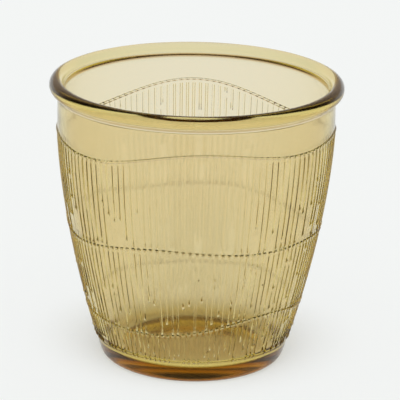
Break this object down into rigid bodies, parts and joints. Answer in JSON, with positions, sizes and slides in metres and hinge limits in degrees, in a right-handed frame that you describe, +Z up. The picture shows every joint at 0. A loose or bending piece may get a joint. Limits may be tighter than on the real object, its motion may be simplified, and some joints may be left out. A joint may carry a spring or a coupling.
{
  "type": "chai glass",
  "caption": "Amber pressed-glass tea tumbler with a rolled rim, smooth collar, fine upright ribs, wavy raised seams, rounded heel and thick base.",
  "frame": {"origin": "centre of the standing ring, on the table", "axes": "+Z up along the glass's axis through the mouth; -Y faces the viewer of the picture, +X to their right"},
  "size_m": [0.09, 0.09, 0.089],
  "materials": {
    "amber_glass": "clear gloss, honey amber, fire-polished pressed glass"
  },
  "bodies": {
    "root": {"tumbler": "amber_glass"}
  },
  "joints": []
}
